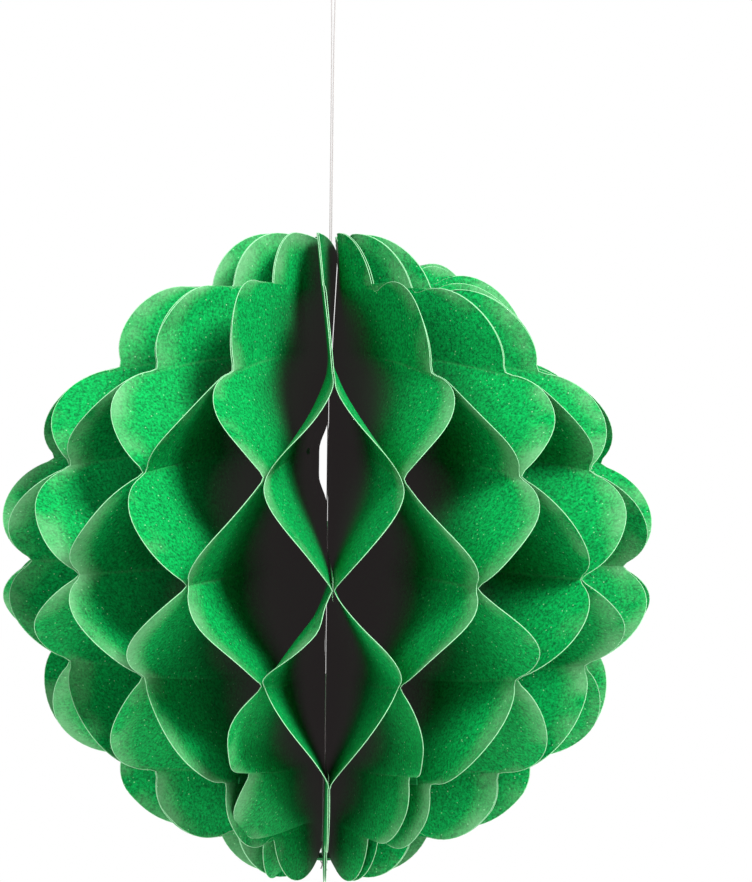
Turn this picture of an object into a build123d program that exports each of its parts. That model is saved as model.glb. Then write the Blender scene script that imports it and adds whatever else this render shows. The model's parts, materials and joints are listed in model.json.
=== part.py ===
"""Hanging paper honeycomb ball: scalloped half-disc leaves glued alternately to each neighbour.

Millimetres, +Z up. The origin is the inside top of the thread's hanging loop, and the ball
hangs below it, with the ball's axis on Z. A leaf is drawn along +X and turned to its place.
"""

import os
from math import asin, cos, degrees, pi, radians, sin, sqrt, tan

from build123d import *

# Driving dimensions
overall_diameter = 203.2  # across the scallops of the open ball, nominally 8 inches
hanging_height = 190.0  # from the loop's inside top down to the ball's centre
leaf_count = 28
scallop_count = 8  # along the half circle of one leaf
notch_depth = 12.0  # from the circle over the scallops in to the notches
notch_rounding = 2.6
paper = 0.2
leaf_pitch = 0.5  # from leaf to leaf along the core, and in the folded stack
bend_share = 0.2  # how much of a cell's side, at each end, bends towards the glued row

glue_width = 2.0
glue_clearance = 0.08  # between a glue line or strip and each leaf beside it
glue_inset = 4.0  # from the core and from the notch to the ends of a glue line
strip_width = 7.0  # of the adhesive strips that close the ring

washer_radius = 4.0
washer_thickness = 0.8
washer_hole_radius = 0.8
washer_seat_clearance = 0.3
thread_diameter = 0.35
strand_gap = 0.1  # between the two strands where they run side by side
knot_radius = 1.4
knot_end_radius = 0.7  # of its flat ends, where the strands go in
knot_height = 2.2
knot_clearance = 0.15

# Worked out from them
strand_offset = (thread_diameter + strand_gap) / 2
step_angle = 360 / leaf_count
lean = tan(radians(step_angle / 2))
scallop_angle = 180 / scallop_count
tip_radius = overall_diameter / 2 / cos(radians(scallop_angle / 2))
notch_radius = tip_radius - notch_depth
core_radius = leaf_pitch / 2 / sin(radians(step_angle / 2))
glue_gap = leaf_pitch - paper
glue_thickness = glue_gap - 2 * glue_clearance
sheet_reach = tip_radius + 1.0  # the leaf's surface is made a little wider than its outline
half_height = tip_radius + 1.0
first_row = scallop_count // 4  # leaves stay in pairs from this notch up to the pole
glued_rows = range(first_row, scallop_count - first_row + 1)
row_spacing = notch_radius * cos(radians(first_row * scallop_angle)) / first_row


def drawn_in(radius, height):
    """The height in the open ball of a point that lies at this radius and height on the flat leaf."""
    return height * sqrt(1 - (2 * radius * lean / row_spacing) ** 2)


def on_leaf(radius, polar_angle):
    """A point of the outline, at this distance from the ball's centre and angle from its top."""
    across = radius * sin(radians(polar_angle))
    flat_height = radius * cos(radians(polar_angle))
    return across, drawn_in(across, flat_height)


def row_line(row):
    """Where a glued row starts at the core and ends at its notch, as two points (x, z)."""
    angle = row * scallop_angle
    return (core_radius, notch_radius * cos(radians(angle))), on_leaf(notch_radius, angle)


def row_height(row, x):
    """The height of a glued row at a distance x from the axis."""
    (x_in, z_in), (x_out, z_out) = row_line(row)
    return z_in + (z_out - z_in) * (x - x_in) / (x_out - x_in)


def leans_to_partner(row):
    """1 where the leaf is glued to its partner at this row, -1 where to its other neighbour."""
    return 1 if (row - first_row) % 2 == 0 else -1


def sheet_side(x, partner_side, offset):
    """One side of the leaf's section at x, from the lowest point to the highest."""
    swing = (x - core_radius) * lean * partner_side
    knots = [(swing * leans_to_partner(row) + offset, row_height(row, x)) for row in glued_rows]
    knots.sort(key=lambda knot: knot[1])
    Line((knots[0][0], -half_height), knots[0])
    for (y_low, z_low), (y_high, z_high) in zip(knots, knots[1:]):
        bend = bend_share * (z_high - z_low)
        Bezier((y_low, z_low), (y_low, z_low + bend), (y_high, z_high - bend), (y_high, z_high))
    Line(knots[-1], (knots[-1][0], half_height))
    return knots[0][0], knots[-1][0]


def make_leaf(partner_side):
    """A leaf along +X about the ball's centre, with its partner on the +Y (1) or -Y (-1) side."""
    with BuildPart() as leaf:
        for x in (core_radius, sheet_reach):
            with BuildSketch(Plane.YZ.offset(x)):
                with BuildLine():
                    left_low, left_high = sheet_side(x, partner_side, -paper / 2)
                    right_low, right_high = sheet_side(x, partner_side, paper / 2)
                    Line((left_low, -half_height), (right_low, -half_height))
                    Line((left_high, half_height), (right_high, half_height))
                make_face()
        loft(ruled=True)
        with BuildSketch(Plane.XZ) as outline:
            with BuildLine():
                for scallop in range(scallop_count):
                    start, middle, end = (
                        on_leaf(notch_radius, scallop * scallop_angle),
                        on_leaf(tip_radius, (scallop + 0.5) * scallop_angle),
                        on_leaf(notch_radius, (scallop + 1) * scallop_angle),
                    )
                    ThreePointArc(start, middle, end)
                Line((0, -notch_radius), (0, notch_radius))
            make_face()
            notches = outline.vertices().filter_by(lambda v: v.X > 1.0)
            fillet(notches, notch_rounding)
        extrude(amount=sheet_reach * lean * 2, both=True, mode=Mode.INTERSECT)
    return leaf


def make_glue(rows, width):
    """Thin strips along the given rows, in the vertical plane through +X."""
    with BuildPart() as glue:
        with BuildSketch(Plane.XZ):
            for row in rows:
                (x_in, _), (x_out, _) = row_line(row)
                x_in, x_out = x_in + glue_inset, x_out - glue_inset
                z_in, z_out = row_height(row, x_in), row_height(row, x_out)
                slope = degrees(asin((z_out - z_in) / sqrt((x_out - x_in) ** 2 + (z_out - z_in) ** 2)))
                with Locations(((x_in + x_out) / 2, (z_in + z_out) / 2)):
                    Rectangle(x_out - x_in, width, rotation=slope)
        extrude(amount=glue_thickness / 2, both=True)
    return glue


def write_turned(piece, azimuth, name):
    """Write a piece that was made along +X, turned about the ball's axis and lowered to the ball."""
    with BuildPart() as placed:
        with Locations(Location((0, 0, -hanging_height), (0, 0, azimuth))):
            add(piece.part)
    placed.part.label = name
    export_step(placed.part, f"parts/{name}.step")


os.makedirs("parts", exist_ok=True)

# Leaves come in pairs: 2 and 3, 4 and 5, up to the last leaf and leaf 1, whose seam faces -Y.
leaf_by_side = {side: make_leaf(side) for side in (1, -1)}
for number in range(1, leaf_count + 1):
    side = 1 if number % 2 == 0 else -1
    write_turned(leaf_by_side[side], -90 + (number - 0.5) * step_angle, f"leaf_{number:02d}")

# A glue line joins leaf n to leaf n + 1 at the rows where the two meet.
partner_rows = [row for row in glued_rows if leans_to_partner(row) == 1]
neighbour_rows = [row for row in glued_rows if leans_to_partner(row) == -1]
partner_glue = make_glue(partner_rows, glue_width)
neighbour_glue = make_glue(neighbour_rows, glue_width)
for number in range(1, leaf_count):
    glue = partner_glue if number % 2 == 0 else neighbour_glue
    write_turned(glue, -90 + number * step_angle, f"glue_{number:02d}")

# Adhesive strips hold the last leaf to the first once the ring is opened out.
write_turned(make_glue(partner_rows, strip_width), -90, "closing_strips")

# A card washer sits in the dimple under the ball, where the leaves' lowest scallops start.
pole_arc = ThreePointArc(
    on_leaf(notch_radius, 180),
    on_leaf(tip_radius, 180 - scallop_angle / 2),
    on_leaf(notch_radius, 180 - scallop_angle),
)
arc_x, arc_z = pole_arc.arc_center.X, pole_arc.arc_center.Y
seat_height = arc_z - sqrt(pole_arc.radius**2 - (arc_x - washer_radius) ** 2)
washer_top = seat_height - washer_seat_clearance - hanging_height
with BuildPart() as washer:
    with BuildSketch(Plane.XY.offset(washer_top - washer_thickness)):
        Circle(washer_radius)
        Circle(washer_hole_radius, mode=Mode.SUBTRACT)
    extrude(amount=washer_thickness)
washer.part.label = "card_washer"
export_step(washer.part, "parts/card_washer.step")

# The knot ties both ends of the thread under the washer.
knot_top = washer_top - washer_thickness - knot_clearance
with BuildPart() as knot:
    with BuildSketch(Plane.XZ):
        with BuildLine():
            bulge = ThreePointArc(
                (knot_end_radius, knot_top - knot_height),
                (knot_radius, knot_top - knot_height / 2),
                (knot_end_radius, knot_top),
            )
            Polyline(bulge @ 1, (0, knot_top), (0, knot_top - knot_height), bulge @ 0)
        make_face()
    revolve(axis=Axis.Z)
knot.part.label = "bottom_knot"
export_step(knot.part, "parts/bottom_knot.step")

# One thread runs up from the knot, over the hook and back down, so it hangs doubled and taut.
loop_top = thread_diameter / 2
strand_up = [
    (-strand_offset, knot_top),
    (-strand_offset, -48.0),
    (-0.43, -17.0),
    (-1.2, -3.0),
    (-1.2, loop_top),
]
route = strand_up + [(-x, z) for x, z in reversed(strand_up)]
points = [Vector(x, 0, z) for x, z in route]
radii = []
for before, corner, after in zip(points, points[1:], points[2:]):
    turn = (corner - before).get_angle(after - corner)
    shorter = min((corner - before).length, (after - corner).length)
    radii.append(0.45 * shorter / tan(radians(turn / 2)))
print("thread radii, mm:", [round(radius, 2) for radius in radii])
with BuildPart() as thread:
    with BuildLine() as thread_path:
        FilletPolyline(*points, radius=radii)
    with BuildSketch(Plane(origin=points[0], z_dir=points[1] - points[0])):
        Circle(thread_diameter / 2)
    sweep()
section = pi * thread_diameter**2 / 4
print("thread volume, mm3:", round(thread.part.volume, 3))
print("section times length:", round(section * thread_path.wires()[0].length, 3))
thread.part.label = "hanging_thread"
export_step(thread.part, "parts/hanging_thread.step")
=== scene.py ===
import json
import math

import bmesh
import bpy
import mathutils
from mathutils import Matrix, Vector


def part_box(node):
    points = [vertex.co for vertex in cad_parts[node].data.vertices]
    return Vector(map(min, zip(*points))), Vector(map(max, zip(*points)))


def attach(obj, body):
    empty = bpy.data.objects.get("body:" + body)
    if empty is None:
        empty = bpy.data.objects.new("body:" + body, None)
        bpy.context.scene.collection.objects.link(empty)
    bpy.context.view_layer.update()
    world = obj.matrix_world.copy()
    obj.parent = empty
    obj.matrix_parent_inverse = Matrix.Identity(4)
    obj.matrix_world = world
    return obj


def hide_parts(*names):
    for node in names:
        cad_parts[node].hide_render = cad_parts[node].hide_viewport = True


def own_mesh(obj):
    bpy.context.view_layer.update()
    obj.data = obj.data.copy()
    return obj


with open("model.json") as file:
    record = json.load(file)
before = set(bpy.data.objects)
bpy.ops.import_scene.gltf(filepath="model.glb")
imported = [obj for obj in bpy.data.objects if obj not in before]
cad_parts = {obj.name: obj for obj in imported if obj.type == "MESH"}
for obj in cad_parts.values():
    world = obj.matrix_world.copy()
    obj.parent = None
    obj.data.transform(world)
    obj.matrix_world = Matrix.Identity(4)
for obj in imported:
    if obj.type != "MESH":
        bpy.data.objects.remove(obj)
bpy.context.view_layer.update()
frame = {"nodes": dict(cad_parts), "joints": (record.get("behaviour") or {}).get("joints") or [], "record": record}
mm = 0.001

ball = {
    "leafCount": 28,
    "scallops": 8,
    "firstRow": 2,  # the highest glued row, counted in notches from the top
    "tipRadius": 103.6 * mm,  # circle over the scallops
    "notchRadius": 91.6 * mm,  # circle through the notches
    "notchSoftening": 1,  # rounds of blur on the outline's corners
    "leafPitch": 0.5 * mm,  # between leaves at the core and in the folded stack
    "paper": 0.2 * mm,
    "cutEdge": 0.12 * mm,  # radius of the bead that stands for the cut fibres
    "waver": 1.6 * mm,  # how far hand opening leaves a sheet off its ideal wave
    "topLean": -0.1,  # of the whole top along X, for its height above the next value
    "leanFrom": 58.0 * mm,
    "leanCore": 12.0 * mm,  # out from the core, where it is full
    "rowsHigh": 2.4 * mm,  # how far a row stands above its place at most, and below it
    "rowsLow": -4.0 * mm,
    "outlineSteps": 20,  # points on each scallop
    "sheetSteps": 30,  # points from the core to the rim
}
ballHeight = frame["joints"][0]["pos_m"][2]
stepAngle = 2 * math.pi / ball["leafCount"]
leanRatio = math.tan(stepAngle / 2)
coreRadius = ball["leafPitch"] / 2 / math.sin(stepAngle / 2)
firstRow = ball["firstRow"]
lastRow = ball["scallops"] - firstRow
firstRowAngle = math.pi * firstRow / ball["scallops"]
rowSpacing = ball["notchRadius"] * math.cos(firstRowAngle) / firstRow


def addNode(tree, kind, *values, **settings):
    # values go to the inputs in order: a number, a socket, a node for its first output, or None
    node = tree.nodes.new(kind)
    for name, value in settings.items():
        setattr(node, name, value)
    for place, value in enumerate(values):
        if isinstance(value, bpy.types.Node):
            value = value.outputs[0]
        if isinstance(value, bpy.types.NodeSocket):
            tree.links.new(value, node.inputs[place])
        elif value is not None:
            node.inputs[place].default_value = value
    return node


def linearColour(hexValue, alpha=1.0):
    channels = [int(hexValue[i : i + 2], 16) / 255 for i in (0, 2, 4)]
    return [c / 12.92 if c <= 0.04045 else ((c + 0.055) / 1.055) ** 2.4 for c in channels] + [alpha]


def makeObject(name, data):
    thing = bpy.data.objects.new(name, data)
    bpy.context.scene.collection.objects.link(thing)
    return thing


def aimAt(thing, target):
    way = mathutils.Vector(target) - thing.location
    thing.rotation_euler = way.to_track_quat("-Z", "Y").to_euler()


# camera

view = {
    "turn": -1.1,  # degrees off the seam
    "rise": 5.8,
    "roll": 0.65,  # the ball hangs a little out of plumb
    "distance": 0.71,
    "lens": 91.2,
    "shiftX": 0.0555,
    "shiftY": 0.131,
}
camera = makeObject("camera", bpy.data.cameras.new("camera"))
around = math.radians(-90 + view["turn"])
rise = math.radians(view["rise"])
flat = view["distance"] * math.cos(rise)
camera.location = (
    flat * math.cos(around), flat * math.sin(around), ballHeight + view["distance"] * math.sin(rise)
)
aimAt(camera, (0, 0, ballHeight))
camera.rotation_euler.rotate_axis("Z", math.radians(view["roll"]))
camera.data.lens = view["lens"]
camera.data.shift_x = view["shiftX"]
camera.data.shift_y = view["shiftY"]
bpy.context.scene.camera = camera


# materials

def makeGreenPaper():
    # dyed sugar-paper card, pressed and matt: fibres give it a mottled grain with pale specks;
    # painted sheen makes the rim pale, painted shade darkens it towards the core, where little light gets down,
    # and a faint painted glow lifts the depths
    look = {
        "shadeGreen": "005c2c",
        "green": "00b454",
        # colour of the painted sheen along the rim; the glue rows take a faint real tint of it too
        "paleGlueAndSheen": "70ae7a",
        "speck": "9fe0a8",
        # colour of the painted shade, deep in each cell and at the core
        "paintedCoreShade": "0f3a1e",
        # colour of a faint painted glow in the depths
        "paintedGlow": "231f20",  # what the depths are never darker than
        "tuft": 0.8 * mm,
        "cloud": 30 * mm,
        "speckSpacing": 1.5 * mm,  # drawn coarser than the real fibres, so that they show
        "speckRadius": 0.2 * mm,
        # how far in from the rim the painted sheen reaches
        "rimSheenWidth": 10 * mm,
        "shadeFrom": 16 * mm,  # inwards from the rim
        "shadeTo": 56 * mm,
        "coreShade": 20 * mm,  # outwards from the core
        "rowLine": 0.9 * mm,
        "rowShare": 0.12,  # how pale the line of a glued row is
        # strongest share of the painted rim sheen
        "rimSheenShare": 0.85,
        "speckShare": 0.75,
        "speckPicked": 0.7,  # of the cells that a speck could lie in, this share stays without
        "relief": 0.12 * mm,
    }
    material = bpy.data.materials.new("dyedSugarPaper")
    material.use_nodes = True
    tree = material.node_tree
    shader = tree.nodes["Principled BSDF"]
    place = addNode(tree, "ShaderNodeTexCoord").outputs["Object"]
    toRim = addNode(tree, "ShaderNodeAttribute", attribute_name="toRim").outputs["Fac"]
    toRow = addNode(tree, "ShaderNodeAttribute", attribute_name="toRow").outputs["Fac"]
    fromCore = addNode(tree, "ShaderNodeAttribute", attribute_name="fromCore").outputs["Fac"]
    clouds = addNode(tree, "ShaderNodeTexNoise", place, None, 1 / look["cloud"], 3.0, 0.6)
    grain = addNode(tree, "ShaderNodeTexNoise", place, None, 1 / look["tuft"], 4.0, 0.75)
    mottle = addNode(tree, "ShaderNodeMapRange", grain, 0.36, 0.64, 0.0, 1.0)
    dyed = addNode(tree, "ShaderNodeMix", mottle, data_type="RGBA")
    dyed.inputs[6].default_value = linearColour(look["shadeGreen"])
    dyed.inputs[7].default_value = linearColour(look["green"])
    # the glue of each row shows through as a faint paler line
    rowShare = addNode(
        tree, "ShaderNodeMapRange", toRow, 0.0, look["rowLine"], look["rowShare"], 0.0,
        interpolation_type="SMOOTHSTEP",
    )
    rowed = addNode(tree, "ShaderNodeMix", rowShare, data_type="RGBA")
    tree.links.new(dyed.outputs[2], rowed.inputs[6])
    rowed.inputs[7].default_value = linearColour(look["paleGlueAndSheen"])
    # painted sheen: the base colour turns pale along the rim, broken up by clouds
    rimSheenShare = addNode(
        tree, "ShaderNodeMapRange", toRim, 0.0, look["rimSheenWidth"], 1.0, 0.0, interpolation_type="SMOOTHSTEP"
    )
    cloudShare = addNode(tree, "ShaderNodeMapRange", clouds, 0.42, 0.62, 0.0, look["rimSheenShare"])
    rimSheenTimes = addNode(tree, "ShaderNodeMath", rimSheenShare, cloudShare, operation="MULTIPLY")
    grainTimes = addNode(tree, "ShaderNodeMapRange", grain, 0.3, 0.7, 0.7, 1.15)
    rimSheenTimes = addNode(tree, "ShaderNodeMath", rimSheenTimes, grainTimes, operation="MULTIPLY", use_clamp=True)
    pale = addNode(tree, "ShaderNodeMix", rimSheenTimes, data_type="RGBA")
    tree.links.new(rowed.outputs[2], pale.inputs[6])
    pale.inputs[7].default_value = linearColour(look["paleGlueAndSheen"])
    # undyed fibres
    cells = addNode(tree, "ShaderNodeTexVoronoi", place, None, 1 / look["speckSpacing"])
    speckShare = addNode(
        tree, "ShaderNodeMapRange", cells, look["speckRadius"] / look["speckSpacing"] * 0.6,
        look["speckRadius"] / look["speckSpacing"] * 1.3, look["speckShare"], 0.0,
    )
    colour = addNode(tree, "ShaderNodeSeparateColor", cells.outputs["Color"])
    picked = addNode(
        tree, "ShaderNodeMapRange", colour, look["speckPicked"] - 0.02, look["speckPicked"] + 0.02, 0.0, 1.0
    )
    speckShare = addNode(tree, "ShaderNodeMath", speckShare, picked, operation="MULTIPLY")
    specked = addNode(tree, "ShaderNodeMix", speckShare, data_type="RGBA")
    tree.links.new(pale.outputs[2], specked.inputs[6])
    specked.inputs[7].default_value = linearColour(look["speck"])
    # painted shade: the base colour darkens deep in each cell and towards the core, where little light gets down
    depthShare = addNode(
        tree, "ShaderNodeMapRange", toRim, look["shadeFrom"], look["shadeTo"], 1.0, 0.0,
        interpolation_type="SMOOTHSTEP",
    )
    coreShare = addNode(
        tree, "ShaderNodeMapRange", fromCore, 3 * mm, look["coreShade"], 0.0, 1.0,
        interpolation_type="SMOOTHSTEP",
    )
    paintedLitShare = addNode(tree, "ShaderNodeMath", depthShare, coreShare, operation="MULTIPLY")
    dark = addNode(tree, "ShaderNodeMix", paintedLitShare, data_type="RGBA")
    dark.inputs[6].default_value = linearColour(look["paintedCoreShade"])
    tree.links.new(specked.outputs[2], dark.inputs[7])
    tree.links.new(dark.outputs[2], shader.inputs["Base Color"])
    # painted light: the paper glows faintly where the painted shade is deepest, so the depths are never quite
    # black
    paintedGlow = addNode(tree, "ShaderNodeMapRange", paintedLitShare, 0.0, 0.6, 1.0, 0.0)
    tree.links.new(paintedGlow.outputs[0], shader.inputs["Emission Strength"])
    shader.inputs["Emission Color"].default_value = linearColour(look["paintedGlow"])
    shader.inputs["Roughness"].default_value = 0.75
    shader.inputs["Specular IOR Level"].default_value = 0.12
    bump = addNode(tree, "ShaderNodeBump", 0.35, look["relief"])
    tree.links.new(grain.outputs[0], bump.inputs["Height"])
    tree.links.new(bump.outputs[0], shader.inputs["Normal"])
    return material


def makeFibrous(name, hexValue, paleHex, roughness, grainSize, relief, twist=0.0):
    # a plain finish with its own grain; a twist lays it in slanting bands, as on a spun thread
    material = bpy.data.materials.new(name)
    material.use_nodes = True
    tree = material.node_tree
    shader = tree.nodes["Principled BSDF"]
    place = addNode(tree, "ShaderNodeTexCoord").outputs["Object"]
    if twist:
        grain = addNode(
            tree, "ShaderNodeTexWave", place, 1 / grainSize, twist, 2.0, 1.0, bands_direction="DIAGONAL"
        )
        grain = grain.outputs[1]
    else:
        grain = addNode(tree, "ShaderNodeTexNoise", place, None, 1 / grainSize, 3.0, 0.65).outputs[0]
    share = addNode(tree, "ShaderNodeMapRange", grain, 0.3, 0.7, 0.0, 1.0)
    tone = addNode(tree, "ShaderNodeMix", share, data_type="RGBA")
    tone.inputs[6].default_value = linearColour(hexValue)
    tone.inputs[7].default_value = linearColour(paleHex)
    tree.links.new(tone.outputs[2], shader.inputs["Base Color"])
    shader.inputs["Roughness"].default_value = roughness
    bump = addNode(tree, "ShaderNodeBump", 0.4, relief)
    tree.links.new(grain, bump.inputs["Height"])
    tree.links.new(bump.outputs[0], shader.inputs["Normal"])
    return material


sugarPaper = makeGreenPaper()
# torn fibres at the guillotined edge, paler than the sheet under a green bloom
cutEdge = makeFibrous("guillotinedPaperEdge", "74bd83", "a5dcb0", 0.85, 0.5 * mm, 0.05 * mm)
# white PVA dried clear over green, a little glossy
driedGlue = makeFibrous("driedPvaGlue", "0c7f42", "2fae68", 0.35, 1.2 * mm, 0.08 * mm)
# double-sided tissue tape, pale and slightly crinkled
tissueTape = makeFibrous("tissueTape", "9fd0a8", "c4e6c9", 0.5, 0.8 * mm, 0.05 * mm)
# die-cut greyboard with green paper on it
greyboard = makeFibrous("greenLinedGreyboard", "1f7a42", "3d9a5c", 0.85, 0.6 * mm, 0.08 * mm)
# two-ply polyester sewing thread, its plies showing as slanting bands
spunThread = makeFibrous("spunPolyesterThread", "857f7e", "c2bcbb", 0.6, 0.5 * mm, 0.04 * mm, twist=0.6)
print("materials made:", len(bpy.data.materials))


# thread and knot

thread = {
    "diameter": 0.35 * mm,
    "length": 0.577,
    "strandUp": [(-0.225, -48.0), (-0.43, -17.0), (-1.2, -3.0), (-1.2, 0.175)],  # mm, up one side of the loop
    "knotRadius": 1.15 * mm,
    "tail": 3.0 * mm,
}
knotBottom, knotTop = (corner[2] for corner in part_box("bottom_knot"))
route = [(-0.225 * mm, knotTop)] + [(x * mm, z * mm) for x, z in thread["strandUp"]]
route += [(-x, z) for x, z in reversed(route)]
threadLine = bpy.data.curves.new("hangingThread", "CURVE")
threadLine.dimensions = "3D"
spline = threadLine.splines.new("NURBS")
spline.points.add(len(route) - 1)
for point, (x, z) in zip(spline.points, route):
    point.co = (x, 0, z, 1)
spline.order_u = 3
spline.use_endpoint_u = True
threadLine.resolution_u = 12
threadLine.bevel_depth = thread["diameter"] / 2
threadLine.bevel_resolution = 3
threadLine.use_fill_caps = True
threadLine.materials.append(spunThread)
hangingThread = makeObject("hangingThread", threadLine)


def makeKnot():
    # both ends in one tight overhand knot, and their tails
    line = bpy.data.curves.new("knotBase", "CURVE")
    line.dimensions = "3D"
    middle = (knotBottom + knotTop) / 2
    size = thread["knotRadius"] / 3
    turns = line.splines.new("NURBS")
    turns.points.add(35)
    for number, point in enumerate(turns.points):
        t = number / 36 * 2 * math.pi
        point.co = (
            size * (math.sin(t) + 2 * math.sin(2 * t)), size * (math.cos(t) - 2 * math.cos(2 * t)),
            middle - 1.6 * size * math.sin(3 * t), 1,
        )
    turns.use_cyclic_u = True
    for side in (-1, 1):
        tail = line.splines.new("NURBS")
        tail.points.add(3)
        for step, point in enumerate(tail.points):
            down = thread["tail"] * step / 3 * (1 if side > 0 else 0.75)
            point.co = (
                side * (0.3 * mm + 0.25 * down * step / 3), 0.2 * mm * step * side, middle - down, 1
            )
        tail.order_u = 3
        tail.use_endpoint_u = True
    line.bevel_depth = thread["diameter"] / 2 * 1.2
    line.bevel_resolution = 3
    line.use_fill_caps = True
    base = makeObject("knotBase", line)
    mesh = bpy.data.meshes.new_from_object(base.evaluated_get(bpy.context.evaluated_depsgraph_get()))
    bpy.data.objects.remove(base)
    mesh.name = "threadKnot"
    mesh.materials.clear()
    mesh.materials.append(spunThread)
    return makeObject("threadKnot", mesh)


threadKnot = makeKnot()
for piece, node in ((hangingThread, "hanging_thread"), (threadKnot, "bottom_knot")):
    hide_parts(node)
    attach(piece, "thread")
print("thread and knot made")


# shapes that follow the ball's rule

def meshFromTree(name, tree, given):
    base = makeObject(name + "Base", bpy.data.meshes.new(name + "Base"))
    modifier = base.modifiers.new("shape", "NODES")
    modifier.node_group = tree
    for item in tree.interface.items_tree:
        if item.item_type == "SOCKET" and item.in_out == "INPUT" and item.name in given:
            modifier[item.identifier] = given[item.name]
    shown = base.evaluated_get(bpy.context.evaluated_depsgraph_get())
    mesh = bpy.data.meshes.new_from_object(shown)
    mesh.name = name
    bpy.data.objects.remove(base)
    return makeObject(name, mesh)


def newTree(name, sizes):
    tree = bpy.data.node_groups.new(name, "GeometryNodeTree")
    for title, value in sizes.items():
        kind = "NodeSocketInt" if isinstance(value, int) else "NodeSocketFloat"
        tree.interface.new_socket(title, in_out="INPUT", socket_type=kind).default_value = value
    tree.interface.new_socket("Geometry", in_out="OUTPUT", socket_type="NodeSocketGeometry")
    return tree, tree.nodes.new("NodeGroupInput").outputs


leafShape = {
    "Scallops": ball["scallops"],
    "Notch Radius": ball["notchRadius"],
    "Scallop Radius": 0.0,
    "Scallop Centre": 0.0,
    "Scallop Sweep": 0.0,
    "Core Radius": coreRadius,
    "Lean": leanRatio,
    "Row Spacing": rowSpacing,
    "Paper": ball["paper"],
    "Cut Edge": ball["cutEdge"],
    "Side": 1.0,  # +1 where the partner leaf is on the side of increasing turn
    "Turn": 0.0,
    "Ball Height": ballHeight,
    "Waver": ball["waver"],
    "Curl": 0.0,  # how far the rim rolls over, at one row
    "Curl Row": 4.5,
    "Curl Span": 0.5,  # rows to each side of it
    "Bottom Lean": 0.0,  # of the scallops below the lowest glued row
    "Bottom Lift": 0.0,
    "Bottom Ease": 0.0,  # 1 where the leaf has let go of its neighbours
    "Cap Lift": 0.0,
    "Lift Span": 1.0,  # scallops to each side of the second
    "Core Shift": 0.0,
    "Seed": 0.0,
}


def makeHeightTree():
    tree = bpy.data.node_groups.new("openHeight", "GeometryNodeTree")
    for title in ("Flat Height", "Across", "Row", "Lean", "Row Spacing", "Scallops", "Notch Radius"):
        tree.interface.new_socket(title, in_out="INPUT", socket_type="NodeSocketFloat")
    tree.interface.new_socket("Height", in_out="OUTPUT", socket_type="NodeSocketFloat")
    given = tree.nodes.new("NodeGroupInput").outputs
    # opening a cell pulls its rows towards the ball's middle
    pull = addNode(tree, "ShaderNodeMath", given["Across"], given["Lean"], operation="MULTIPLY")
    pull = addNode(tree, "ShaderNodeMath", pull, given["Row Spacing"], operation="DIVIDE")
    pull = addNode(tree, "ShaderNodeMath", pull, 2.0, operation="MULTIPLY")
    drawn = addNode(tree, "ShaderNodeMath", pull, pull, operation="MULTIPLY")
    drawn = addNode(tree, "ShaderNodeMath", 1.0, drawn, operation="SUBTRACT")
    shrink = addNode(tree, "ShaderNodeMath", drawn, operation="SQRT")
    height = addNode(tree, "ShaderNodeMath", given["Flat Height"], shrink, operation="MULTIPLY")
    # no two rows are opened alike: those above the middle stand high, the lowest hangs low,
    # on a curve from the top to the bottom where 0.62 is a row in its place
    uneven = addNode(tree, "ShaderNodeMath", given["Row"], given["Scallops"], operation="DIVIDE")
    uneven = addNode(tree, "ShaderNodeFloatCurve", 1.0, uneven)
    knots = uneven.mapping.curves[0].points
    knots[0].location, knots[1].location = (0, 0.62), (1, 0.62)
    for x, y in (
        (0.12, 0.62), (0.25, 0.89), (0.375, 0.96), (0.5, 0.62), (0.62, 0.62), (0.75, 0.0), (0.88, 0.5)
    ):
        knots.new(x, y)
    uneven.mapping.update()
    rowShift = addNode(tree, "ShaderNodeMapRange", uneven, 0.0, 1.0, ball["rowsLow"], ball["rowsHigh"])
    far = addNode(tree, "ShaderNodeMath", given["Across"], given["Notch Radius"], operation="DIVIDE")
    shift = addNode(tree, "ShaderNodeMath", rowShift, far, operation="MULTIPLY")
    addNode(tree, "NodeGroupOutput", addNode(tree, "ShaderNodeMath", height, shift, operation="ADD"))
    return tree


heightTree = makeHeightTree()


def makeLeanTree():
    tree = bpy.data.node_groups.new("topLean", "GeometryNodeTree")
    for title in ("Height", "From Core"):
        tree.interface.new_socket(title, in_out="INPUT", socket_type="NodeSocketFloat")
    tree.interface.new_socket("Aside", in_out="OUTPUT", socket_type="NodeSocketFloat")
    given = tree.nodes.new("NodeGroupInput").outputs
    above = addNode(tree, "ShaderNodeMath", given["Height"], ball["leanFrom"], operation="SUBTRACT")
    above = addNode(tree, "ShaderNodeMath", above, 0.0, operation="MAXIMUM")
    # the sheets swing about a line near the core, so their inner edges go the other way
    swing = addNode(
        tree, "ShaderNodeMapRange", given["From Core"], 0.0, ball["leanCore"], -0.5 * ball["topLean"],
        ball["topLean"],
    )
    addNode(tree, "NodeGroupOutput", addNode(tree, "ShaderNodeMath", above, swing, operation="MULTIPLY"))
    return tree


leanTree = makeLeanTree()


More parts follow.
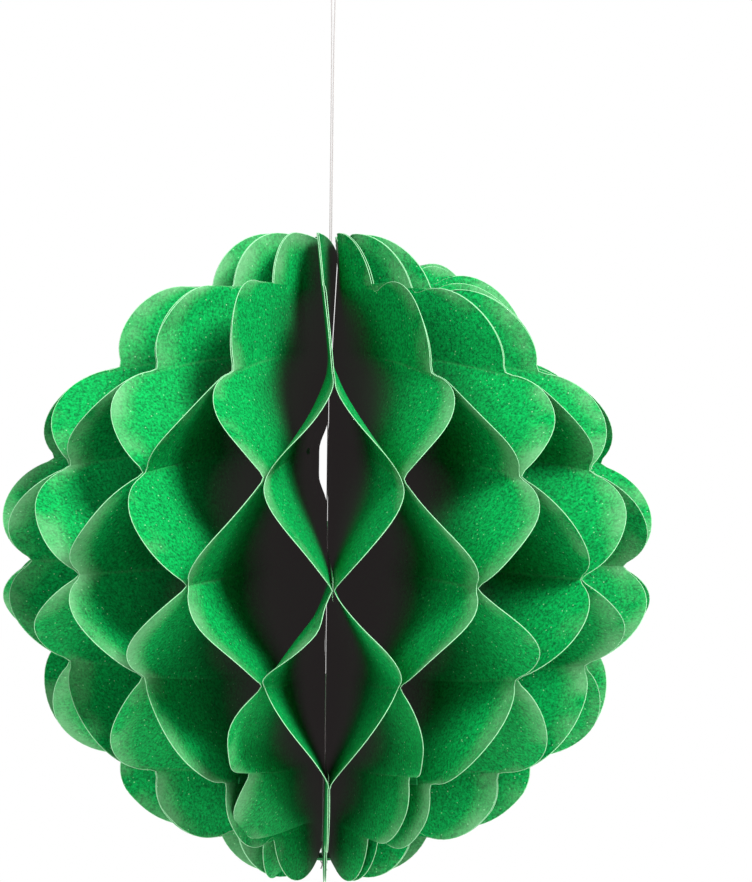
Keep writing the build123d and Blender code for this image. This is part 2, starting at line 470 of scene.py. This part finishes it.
# how far hand opening goes, the same for every leaf
opened = {
    "seedStep": 0.37,
    "anyCurl": 2.5 * mm,  # of one scallop or another on each leaf
    "curlStep": 2.4,  # radians from leaf to leaf
    "driftScale": 22.0,  # of the noise that a sheet drifts by, for each metre
    "looseRows": 1.2,  # past the first and last glued rows, until a sheet is quite free
    "leanStart": 6.0,  # of the bottom's lean, in scallops round the rim from the top
    "leanEnd": 7.6,
    "rollFrom": -6 * mm,  # a curl starts this far outside the notches
    "rollTo": 12 * mm,
    "rollPower": 1.6,
    "capMiddle": 1.5,  # of the lifted cap, in scallops from the top
    "lowMiddle": 6.2,  # and of the lifted bottom
    "lowSpan": 1.4,
    "gapeRise": 30 * mm,  # above the ball's middle
    "gapeHalf": 4 * mm,
    "gapeEnd": 14 * mm,
    "lowRise": -28 * mm,  # a second, narrow gape
    "lowHalf": 1 * mm,
    "lowEnd": 9 * mm,
    "lowShare": 0.12,
    "gapeFrom": 3 * mm,  # out from the core, where a gape starts to close
    "gapeTo": 38 * mm,
    "rightShift": -0.5 * mm,  # of the core, in the half of the ball at +X
    "leftShift": -2.7 * mm,
}


def makeLeafTree():
    tree, given = newTree("scallopedLeaf", leafShape)

    # outline: one arc for each scallop, from the bottom pole up to the top one
    half = addNode(tree, "ShaderNodeMath", given["Scallop Sweep"], -0.5, operation="MULTIPLY")
    arc = addNode(tree, "GeometryNodeCurveArc", ball["outlineSteps"] + 1, mode="RADIUS")
    tree.links.new(given["Scallop Radius"], arc.inputs["Radius"])
    tree.links.new(half.outputs[0], arc.inputs["Start Angle"])
    tree.links.new(given["Scallop Sweep"], arc.inputs["Sweep Angle"])
    out = addNode(tree, "ShaderNodeCombineXYZ", given["Scallop Centre"])
    arcOut = addNode(tree, "GeometryNodeTransform", arc)
    tree.links.new(out.outputs[0], arcOut.inputs["Translation"])
    places = addNode(tree, "GeometryNodeMeshLine", given["Scallops"])
    places.inputs["Offset"].default_value = (0, 0, 0)
    middle = addNode(tree, "ShaderNodeMath", addNode(tree, "GeometryNodeInputIndex"), 0.5, operation="ADD")
    share = addNode(tree, "ShaderNodeMath", middle, given["Scallops"], operation="DIVIDE")
    angle = addNode(tree, "ShaderNodeMath", share, math.pi, -math.pi / 2, operation="MULTIPLY_ADD")
    spin = addNode(tree, "ShaderNodeCombineXYZ", None, None, angle)
    arcs = addNode(tree, "GeometryNodeInstanceOnPoints", places, None, arcOut)
    tree.links.new(spin.outputs[0], arcs.inputs["Rotation"])
    arcLines = addNode(tree, "GeometryNodeCurveToMesh", addNode(tree, "GeometryNodeRealizeInstances", arcs))
    joined = addNode(tree, "GeometryNodeMergeByDistance", arcLines)
    joined.inputs["Distance"].default_value = 0.05 * mm
    line = addNode(tree, "GeometryNodeMeshToCurve", joined)
    softened = addNode(tree, "GeometryNodeBlurAttribute", data_type="FLOAT_VECTOR")
    tree.links.new(addNode(tree, "GeometryNodeInputPosition").outputs[0], softened.inputs["Value"])
    softened.inputs["Iterations"].default_value = ball["notchSoftening"]
    outline = addNode(tree, "GeometryNodeSetPosition", line, None, softened)

    # the flat leaf: a grid ruled from the core out to the outline
    grid = addNode(
        tree, "GeometryNodeMeshGrid", 1.0, 1.0, ball["scallops"] * ball["outlineSteps"] + 1,
        ball["sheetSteps"],
    )
    gridSpot = addNode(tree, "ShaderNodeSeparateXYZ", addNode(tree, "GeometryNodeInputPosition"))
    up = addNode(tree, "ShaderNodeMath", gridSpot.outputs[0], 0.5, operation="ADD")
    outward = addNode(tree, "ShaderNodeMath", gridSpot.outputs[1], 0.5, operation="ADD")
    rim = addNode(tree, "GeometryNodeSampleCurve", outline, None, up, mode="FACTOR", use_all_curves=False)
    rimSpot = addNode(tree, "ShaderNodeSeparateXYZ", rim.outputs["Position"])
    rimAcross = addNode(
        tree, "ShaderNodeMath", rimSpot.outputs[0], given["Core Radius"], operation="MAXIMUM"
    )
    coreUp = addNode(tree, "ShaderNodeMath", up, math.pi, operation="MULTIPLY")
    coreUp = addNode(tree, "ShaderNodeMath", coreUp, operation="COSINE")
    coreUp = addNode(
        tree, "ShaderNodeMath", coreUp,
        addNode(tree, "ShaderNodeMath", given["Notch Radius"], -1.0, operation="MULTIPLY"),
        operation="MULTIPLY",
    )
    ray = addNode(tree, "ShaderNodeMath", rimAcross, given["Core Radius"], operation="SUBTRACT")
    across = addNode(tree, "ShaderNodeMath", ray, outward, given["Core Radius"], operation="MULTIPLY_ADD")
    rayUp = addNode(tree, "ShaderNodeMath", rimSpot.outputs[1], coreUp, operation="SUBTRACT")
    height = addNode(tree, "ShaderNodeMath", rayUp, outward, coreUp, operation="MULTIPLY_ADD")
    inward = addNode(tree, "ShaderNodeMath", 1.0, outward, operation="SUBTRACT")
    toRim = addNode(tree, "ShaderNodeMath", inward, ray, operation="MULTIPLY")

    # the wave: glued to the partner at even rows and to the other neighbour at odd ones
    level = addNode(tree, "ShaderNodeMath", height, given["Notch Radius"], operation="DIVIDE")
    level = addNode(tree, "ShaderNodeClamp", level, -1.0, 1.0)
    fall = addNode(tree, "ShaderNodeMath", level, operation="ARCCOSINE")
    row = addNode(tree, "ShaderNodeMath", fall, given["Scallops"], operation="MULTIPLY")
    row = addNode(tree, "ShaderNodeMath", row, math.pi, operation="DIVIDE")
    glued = addNode(tree, "ShaderNodeClamp", row, firstRow, lastRow)
    zigzag = addNode(tree, "ShaderNodeMath", glued, firstRow, operation="SUBTRACT")
    zigzag = addNode(tree, "ShaderNodeMath", zigzag, 1.0, operation="PINGPONG")
    bent = addNode(tree, "ShaderNodeFloatCurve", 1.0, zigzag)
    knots = bent.mapping.curves[0].points
    knots[0].location, knots[1].location = (0, 0), (1, 1)
    for x, y in ((0.1, 0.075), (0.9, 0.925)):
        knots.new(x, y)
    bent.mapping.update()
    wave = addNode(tree, "ShaderNodeMath", bent, -2.0, 1.0, operation="MULTIPLY_ADD")
    letGo = addNode(
        tree, "ShaderNodeMapRange", row, lastRow - 1, lastRow, 0.0, given["Bottom Ease"],
        interpolation_type="SMOOTHSTEP",
    )
    eased = addNode(tree, "ShaderNodeMath", 1.0, letGo, operation="SUBTRACT")
    fromCore = addNode(tree, "ShaderNodeMath", across, given["Core Radius"], operation="SUBTRACT")
    reach = addNode(tree, "ShaderNodeMath", fromCore, given["Lean"], operation="MULTIPLY")
    reach = addNode(tree, "ShaderNodeMath", reach, eased, operation="MULTIPLY")
    sided = addNode(tree, "ShaderNodeMath", wave, given["Side"], operation="MULTIPLY")
    sideways = addNode(tree, "ShaderNodeMath", sided, reach, operation="MULTIPLY")

    # hand opening leaves each sheet a little off that wave, except where it is glued
    seeded = addNode(tree, "ShaderNodeCombineXYZ", across, given["Seed"], height)
    drift = addNode(tree, "ShaderNodeTexNoise", seeded, None, opened["driftScale"], 1.0, 0.5)
    looseMiddle = addNode(tree, "ShaderNodeMath", wave, wave, operation="MULTIPLY")
    looseMiddle = addNode(tree, "ShaderNodeMath", 1.0, looseMiddle, operation="SUBTRACT")
    fromEquator = addNode(tree, "ShaderNodeMath", row, ball["scallops"] / 2, operation="SUBTRACT")
    fromEquator = addNode(tree, "ShaderNodeMath", fromEquator, operation="ABSOLUTE")
    looseEnd = addNode(
        tree, "ShaderNodeMapRange", fromEquator, firstRow, firstRow + opened["looseRows"], 0.0, 1.0
    )
    loose = addNode(tree, "ShaderNodeMath", looseMiddle, looseEnd, operation="MAXIMUM")
    far = addNode(tree, "ShaderNodeMath", across, given["Notch Radius"], operation="DIVIDE")
    far = addNode(tree, "ShaderNodeMath", far, 2.0, operation="POWER")
    freedom = addNode(tree, "ShaderNodeMath", loose, far, operation="MULTIPLY")
    offset = addNode(tree, "ShaderNodeMath", drift, 0.5, operation="SUBTRACT")
    offset = addNode(tree, "ShaderNodeMath", offset, given["Waver"], operation="MULTIPLY")
    offset = addNode(tree, "ShaderNodeMath", offset, 4.0, operation="MULTIPLY")
    sideways = addNode(tree, "ShaderNodeMath", offset, freedom, sideways, operation="MULTIPLY_ADD")
    roundRim = addNode(tree, "ShaderNodeMath", 1.0, up, operation="SUBTRACT")
    roundRim = addNode(tree, "ShaderNodeMath", roundRim, given["Scallops"], operation="MULTIPLY")
    bottomCap = addNode(
        tree, "ShaderNodeMapRange", roundRim, opened["leanStart"], opened["leanEnd"], 0.0,
        given["Bottom Lean"], interpolation_type="SMOOTHSTEP",
    )
    sideways = addNode(tree, "ShaderNodeMath", bottomCap, outward, sideways, operation="MULTIPLY_ADD")
    # scallops flare past the notches, most at the curled row, counted round the rim from the top
    besideRow = addNode(tree, "ShaderNodeMath", roundRim, given["Curl Row"], operation="SUBTRACT")
    besideRow = addNode(tree, "ShaderNodeMath", besideRow, operation="ABSOLUTE")
    curlHere = addNode(
        tree, "ShaderNodeMapRange", besideRow, 0.0, given["Curl Span"], 1.0, 0.0,
        interpolation_type="SMOOTHERSTEP",
    )
    flatSpot = addNode(tree, "ShaderNodeCombineXYZ", across, None, height)
    fromMiddle = addNode(tree, "ShaderNodeVectorMath", flatSpot, operation="LENGTH").outputs["Value"]
    pastNotch = addNode(tree, "ShaderNodeMath", fromMiddle, given["Notch Radius"], operation="SUBTRACT")
    rolled = addNode(tree, "ShaderNodeMapRange", pastNotch, opened["rollFrom"], opened["rollTo"], 0.0, 1.0)
    rolled = addNode(tree, "ShaderNodeMath", rolled, opened["rollPower"], operation="POWER")
    rolled = addNode(tree, "ShaderNodeMath", rolled, curlHere, operation="MULTIPLY")
    sideways = addNode(tree, "ShaderNodeMath", rolled, given["Curl"], sideways, operation="MULTIPLY_ADD")

    height = addNode(
        tree, "GeometryNodeGroup", height, across, row, given["Lean"], given["Row Spacing"],
        given["Scallops"], given["Notch Radius"], node_tree=heightTree,
    )
    besideCap = addNode(tree, "ShaderNodeMath", roundRim, opened["capMiddle"], operation="SUBTRACT")
    besideCap = addNode(tree, "ShaderNodeMath", besideCap, operation="ABSOLUTE")
    liftHere = addNode(
        tree, "ShaderNodeMapRange", besideCap, 0.0, given["Lift Span"], 1.0, 0.0,
        interpolation_type="SMOOTHSTEP",
    )
    liftOut = addNode(tree, "ShaderNodeMath", liftHere, outward, operation="MULTIPLY")
    height = addNode(tree, "ShaderNodeMath", liftOut, given["Cap Lift"], height, operation="MULTIPLY_ADD")
    besideLow = addNode(tree, "ShaderNodeMath", roundRim, opened["lowMiddle"], operation="SUBTRACT")
    besideLow = addNode(tree, "ShaderNodeMath", besideLow, operation="ABSOLUTE")
    lowHere = addNode(
        tree, "ShaderNodeMapRange", besideLow, 0.0, opened["lowSpan"], 1.0, 0.0,
        interpolation_type="SMOOTHSTEP",
    )
    lowOut = addNode(tree, "ShaderNodeMath", lowHere, outward, operation="MULTIPLY")
    height = addNode(tree, "ShaderNodeMath", lowOut, given["Bottom Lift"], height, operation="MULTIPLY_ADD")

    shaped = addNode(tree, "ShaderNodeCombineXYZ", across, sideways, height)
    turned = addNode(tree, "ShaderNodeVectorRotate", shaped, rotation_type="Z_AXIS")
    tree.links.new(given["Turn"], turned.inputs["Angle"])
    # the core gapes where the two halves of the ball were pulled apart
    gapeRise = addNode(tree, "ShaderNodeMath", height, opened["gapeRise"], operation="SUBTRACT")
    gapeRise = addNode(tree, "ShaderNodeMath", gapeRise, operation="ABSOLUTE")
    gape = addNode(
        tree, "ShaderNodeMapRange", gapeRise, opened["gapeHalf"], opened["gapeEnd"], 1.0, 0.0,
        interpolation_type="SMOOTHSTEP",
    )
    lowRise = addNode(tree, "ShaderNodeMath", height, opened["lowRise"], operation="SUBTRACT")
    lowRise = addNode(tree, "ShaderNodeMath", lowRise, operation="ABSOLUTE")
    lowGape = addNode(
        tree, "ShaderNodeMapRange", lowRise, opened["lowHalf"], opened["lowEnd"], opened["lowShare"], 0.0,
        interpolation_type="SMOOTHSTEP",
    )
    nearCore = addNode(
        tree, "ShaderNodeMapRange", fromCore, opened["gapeFrom"], opened["gapeTo"], 1.0, 0.0,
        interpolation_type="SMOOTHSTEP",
    )
    gaping = addNode(tree, "ShaderNodeMath", gape, lowGape, operation="ADD")
    gaping = addNode(tree, "ShaderNodeMath", gaping, nearCore, operation="MULTIPLY")
    apart = addNode(tree, "ShaderNodeMath", gaping, given["Core Shift"], operation="MULTIPLY")
    lean = addNode(tree, "GeometryNodeGroup", height, fromCore, node_tree=leanTree)
    aside = addNode(tree, "ShaderNodeMath", lean, apart, operation="ADD")
    moved = addNode(tree, "ShaderNodeCombineXYZ", aside, None, given["Ball Height"])
    placed = addNode(tree, "ShaderNodeVectorMath", turned, moved, operation="ADD")

    rowOff = addNode(tree, "ShaderNodeMath", glued, operation="ROUND")
    rowOff = addNode(tree, "ShaderNodeMath", row, rowOff, operation="SUBTRACT")
    toRow = addNode(tree, "ShaderNodeMath", rowOff, operation="ABSOLUTE")
    toRow = addNode(tree, "ShaderNodeMath", toRow, given["Row Spacing"], operation="MULTIPLY")
    named = addNode(tree, "GeometryNodeStoreNamedAttribute", grid, None, "toRim", toRim)
    named = addNode(tree, "GeometryNodeStoreNamedAttribute", named, None, "toRow", toRow)
    named = addNode(tree, "GeometryNodeStoreNamedAttribute", named, None, "fromCore", across)
    sheet = addNode(tree, "GeometryNodeSetPosition", named, None, placed)

    # paper thickness, half to each side of the sheet
    facing = addNode(tree, "GeometryNodeInputNormal")
    back = addNode(tree, "ShaderNodeVectorMath", facing, operation="SCALE")
    tree.links.new(
        addNode(tree, "ShaderNodeMath", given["Paper"], -0.5, operation="MULTIPLY").outputs[0],
        back.inputs["Scale"],
    )
    lower = addNode(tree, "GeometryNodeSetPosition", sheet, None, None, back)
    upper = addNode(tree, "GeometryNodeExtrudeMesh", lower, None, facing, given["Paper"], False)
    under = addNode(tree, "GeometryNodeFlipFaces", lower)
    walls = addNode(tree, "GeometryNodeJoinGeometry")
    for part in (upper, under):
        tree.links.new(part.outputs[0], walls.inputs[0])
    solid = addNode(tree, "GeometryNodeMergeByDistance", walls)
    solid.inputs["Distance"].default_value = 0.002 * mm
    painted = addNode(tree, "GeometryNodeSetMaterial", solid)
    painted.inputs["Material"].default_value = sugarPaper

    # the cut edge, drawn a little thicker than the paper so that it shows
    edgeFaces = addNode(tree, "GeometryNodeInputMeshEdgeNeighbors")
    border = addNode(tree, "ShaderNodeMath", edgeFaces, 1.0, 0.1, operation="COMPARE")
    coreDistance = addNode(tree, "GeometryNodeInputNamedAttribute", "fromCore")
    beyondCore = addNode(tree, "ShaderNodeMath", coreDistance, coreRadius * 1.6, operation="GREATER_THAN")
    shown = addNode(tree, "ShaderNodeMath", border, beyondCore, operation="MULTIPLY")
    rimLine = addNode(tree, "GeometryNodeMeshToCurve", sheet, shown)
    ring = addNode(tree, "GeometryNodeCurvePrimitiveCircle", 6)
    tree.links.new(given["Cut Edge"], ring.inputs["Radius"])
    bead = addNode(tree, "GeometryNodeCurveToMesh", rimLine, ring)
    bead.inputs["Fill Caps"].default_value = True
    beadPainted = addNode(tree, "GeometryNodeSetMaterial", bead)
    beadPainted.inputs["Material"].default_value = cutEdge
    whole = addNode(tree, "GeometryNodeJoinGeometry")
    for part in (painted, addNode(tree, "GeometryNodeSetShadeSmooth", beadPainted)):
        tree.links.new(part.outputs[0], whole.inputs[0])
    addNode(tree, "NodeGroupOutput", addNode(tree, "GeometryNodeRealizeInstances", whole))
    return tree


scallopAngle = math.pi / ball["scallops"]
chord = ball["notchRadius"] * math.sin(scallopAngle / 2)
bulge = ball["tipRadius"] - ball["notchRadius"] * math.cos(scallopAngle / 2)
scallopRadius = (chord**2 + bulge**2) / 2 / bulge
leafShape["Scallop Radius"] = scallopRadius
leafShape["Scallop Centre"] = ball["tipRadius"] - scallopRadius
leafShape["Scallop Sweep"] = 2 * math.asin(chord / scallopRadius)

# what opening the ball by hand has done to single leaves, counted from the seam
handOpened = {
    28: {"Curl": 6 * mm, "Curl Row": 4.5, "Waver": 0.8 * mm},
    1: {"Curl": 0.0, "Waver": 0.8 * mm},
    27: {
        "Bottom Ease": 1.0, "Bottom Lean": -11 * mm, "Bottom Lift": 4 * mm, "Curl": -7 * mm,
        "Curl Row": 6.2, "Curl Span": 0.9, "Cap Lift": 3.5 * mm, "Lift Span": 0.5,
    },
    2: {
        "Bottom Ease": 0.7, "Bottom Lean": 1 * mm, "Bottom Lift": 3 * mm, "Curl": -4 * mm, "Curl Row": 5.45,
        "Curl Span": 0.7, "Cap Lift": 3.5 * mm, "Lift Span": 0.5,
    },
    26: {"Bottom Ease": 0.2, "Cap Lift": 2 * mm, "Lift Span": 0.5},
    3: {"Bottom Ease": 0.2, "Cap Lift": 2 * mm, "Lift Span": 0.5},
    8: {"Cap Lift": 3 * mm},
    9: {"Cap Lift": 6 * mm},
    10: {"Cap Lift": 10 * mm},
    11: {"Cap Lift": 11 * mm},
    12: {"Cap Lift": 8 * mm},
    13: {"Cap Lift": 4 * mm},
}
bodyOf = {}
for body, members in frame["record"]["behaviour"]["bodies"].items():
    for member in members:
        bodyOf[member] = body

leafTree = makeLeafTree()
for number in range(1, ball["leafCount"] + 1):
    turn = -math.pi / 2 + (number - 0.5) * stepAngle
    settings = dict(leafShape)
    settings["Side"] = 1.0 if number % 2 == 0 else -1.0
    settings["Turn"] = turn
    settings["Seed"] = number * opened["seedStep"]
    settings["Core Shift"] = opened["rightShift" if number <= ball["leafCount"] / 2 else "leftShift"]
    settings["Curl"] = opened["anyCurl"] * math.sin(number * opened["curlStep"])
    settings["Curl Row"] = 1.5 + number * 5 % 6
    settings.update(handOpened.get(number, {}))
    leaf = meshFromTree(f"paperLeaf{number:02d}", leafTree, settings)
    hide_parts(f"leaf_{number:02d}")
    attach(leaf, bodyOf[f"leaf_{number:02d}"])
    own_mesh(leaf)
print("leaves made:", ball["leafCount"])

# glue lines and the tape that closes the ring

glueShape = {
    "First Row": firstRow,
    "Row Step": 2,
    "Rows": 3,
    "Width": 2.0 * mm,
    "Thickness": 0.14 * mm,
    "Start": 28.0 * mm,
    "Rim Inset": 4.0 * mm,
    "Notch Radius": ball["notchRadius"],
    "Scallops": ball["scallops"],
    "Lean": leanRatio,
    "Row Spacing": rowSpacing,
    "Turn": 0.0,
    "Ball Height": ballHeight,
}


def makeGlueTree(name, material):
    tree, given = newTree(name, glueShape)
    steps = 16
    line = addNode(tree, "GeometryNodeResampleCurve", addNode(tree, "GeometryNodeCurvePrimitiveLine"))
    line.inputs["Count"].default_value = steps
    places = addNode(tree, "GeometryNodeMeshLine", given["Rows"])
    copies = addNode(tree, "GeometryNodeInstanceOnPoints", places, None, line)
    lines = addNode(tree, "GeometryNodeRealizeInstances", copies)
    index = addNode(tree, "GeometryNodeInputIndex")
    lineNumber = addNode(tree, "ShaderNodeMath", index, steps, operation="DIVIDE")
    lineNumber = addNode(tree, "ShaderNodeMath", lineNumber, operation="FLOOR")
    along = addNode(tree, "ShaderNodeMath", index, steps, operation="MODULO")
    along = addNode(tree, "ShaderNodeMath", along, steps - 1, operation="DIVIDE")
    row = addNode(
        tree, "ShaderNodeMath", lineNumber, given["Row Step"], given["First Row"], operation="MULTIPLY_ADD"
    )
    angle = addNode(tree, "ShaderNodeMath", row, math.pi, operation="MULTIPLY")
    angle = addNode(tree, "ShaderNodeMath", angle, given["Scallops"], operation="DIVIDE")
    sine = addNode(tree, "ShaderNodeMath", angle, operation="SINE")
    notchAcross = addNode(tree, "ShaderNodeMath", sine, given["Notch Radius"], operation="MULTIPLY")
    end = addNode(tree, "ShaderNodeMath", notchAcross, given["Rim Inset"], operation="SUBTRACT")
    long = addNode(tree, "ShaderNodeMath", end, given["Start"], operation="SUBTRACT")
    across = addNode(tree, "ShaderNodeMath", along, long, given["Start"], operation="MULTIPLY_ADD")
    cosine = addNode(tree, "ShaderNodeMath", angle, operation="COSINE")
    flatHeight = addNode(tree, "ShaderNodeMath", cosine, given["Notch Radius"], operation="MULTIPLY")
    openHeight = addNode(
        tree, "GeometryNodeGroup", flatHeight, across, row, given["Lean"], given["Row Spacing"],
        given["Scallops"], given["Notch Radius"], node_tree=heightTree,
    )
    spot = addNode(tree, "ShaderNodeCombineXYZ", across, None, openHeight)
    turned = addNode(tree, "ShaderNodeVectorRotate", spot, rotation_type="Z_AXIS")
    tree.links.new(given["Turn"], turned.inputs["Angle"])
    lean = addNode(tree, "GeometryNodeGroup", openHeight, across, node_tree=leanTree)
    lowered = addNode(tree, "ShaderNodeCombineXYZ", lean, None, given["Ball Height"])
    placed = addNode(tree, "ShaderNodeVectorMath", turned, lowered, operation="ADD")
    path = addNode(tree, "GeometryNodeSetPosition", lines, None, placed)
    path = addNode(tree, "GeometryNodeSetCurveNormal", path, mode="Z_UP")
    ring = addNode(tree, "GeometryNodeCurvePrimitiveCircle", 10)
    ring.inputs["Radius"].default_value = 0.5
    bead = addNode(tree, "GeometryNodeTransform", ring)
    tree.links.new(
        addNode(tree, "ShaderNodeCombineXYZ", given["Thickness"], given["Width"], 1.0).outputs[0],
        bead.inputs["Scale"],
    )
    laid = addNode(tree, "GeometryNodeCurveToMesh", path, bead)
    laid.inputs["Fill Caps"].default_value = True
    painted = addNode(tree, "GeometryNodeSetMaterial", addNode(tree, "GeometryNodeSetShadeSmooth", laid))
    painted.inputs["Material"].default_value = material
    addNode(tree, "NodeGroupOutput", addNode(tree, "GeometryNodeRealizeInstances", painted))
    return tree


def placeBetween(piece):
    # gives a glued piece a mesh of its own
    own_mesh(piece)


glueTree = makeGlueTree("glueLines", driedGlue)
for number in range(1, ball["leafCount"]):
    settings = dict(glueShape)
    settings["Turn"] = -math.pi / 2 + number * stepAngle
    if number % 2:
        settings["First Row"], settings["Rows"] = firstRow + 1, 2
    glue = meshFromTree(f"glueLines{number:02d}", glueTree, settings)
    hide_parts(f"glue_{number:02d}")
    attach(glue, bodyOf[f"glue_{number:02d}"])
    placeBetween(glue)

tapeShape = dict(glueShape)
tapeShape.update({"Width": 7.0 * mm, "Turn": -math.pi / 2, "Start": 8.0 * mm, "Rim Inset": 1.5 * mm})
tape = meshFromTree("closingTape", makeGlueTree("closingTape", tissueTape), tapeShape)
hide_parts("closing_strips")
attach(tape, bodyOf["closing_strips"])
placeBetween(tape)
washer = frame["nodes"]["card_washer"]
washer.data.materials.clear()
washer.data.materials.append(greyboard)
print("glue lines made:", ball["leafCount"] - 1)

# studio

studio = {
    "ambient": 0.26,
    "floorDrop": 0.9,
    "floorRadius": 2.2,
    "floorGlow": 0.4,
    "lights": (
        ("keyLight", (0.7, -1.1, 0.85), 0.5, 44.0),
        ("fillLight", (-0.7, -1.3, 0.3), 0.8, 11.0),
        ("backLight", (-0.3, 1.5, 0.6), 0.9, 24.0),
    ),
}
floorMesh = bpy.data.meshes.new("floor")
shape = bmesh.new()
bmesh.ops.create_circle(
    shape, cap_ends=True, segments=128, radius=studio["floorRadius"],
    matrix=mathutils.Matrix.Translation((0, 0, -studio["floorDrop"])),
)
shape.to_mesh(floorMesh)
shape.free()
floor = makeObject("floor", floorMesh)
# matt white studio paper, lifted a little so that it stays pale under soft light
floorPaper = makeFibrous("whiteStudioPaper", "f4f4f2", "fafaf8", 0.9, 40 * mm, 0.1 * mm)
floorShader = floorPaper.node_tree.nodes["Principled BSDF"]
floorShader.inputs["Emission Color"].default_value = (1, 1, 1, 1)
floorShader.inputs["Emission Strength"].default_value = studio["floorGlow"]
floorMesh.materials.append(floorPaper)

world = bpy.data.worlds.new("studioWorld")
bpy.context.scene.world = world
world.use_nodes = True
backdrop = world.node_tree.nodes["Background"]
backdrop.inputs[0].default_value = (1, 1, 1, 1)
seen = addNode(world.node_tree, "ShaderNodeLightPath").outputs["Is Camera Ray"]
strength = addNode(world.node_tree, "ShaderNodeMapRange", seen, 0.0, 1.0, studio["ambient"], 1.0)
world.node_tree.links.new(strength.outputs[0], backdrop.inputs[1])
bpy.context.scene.view_settings.view_transform = "Standard"
for name, spot, size, power in studio["lights"]:
    light = makeObject(name, bpy.data.lights.new(name, "AREA"))
    light.data.size = size
    light.data.energy = power
    light.location = spot
    aimAt(light, (0, 0, ballHeight))
print("studio made")
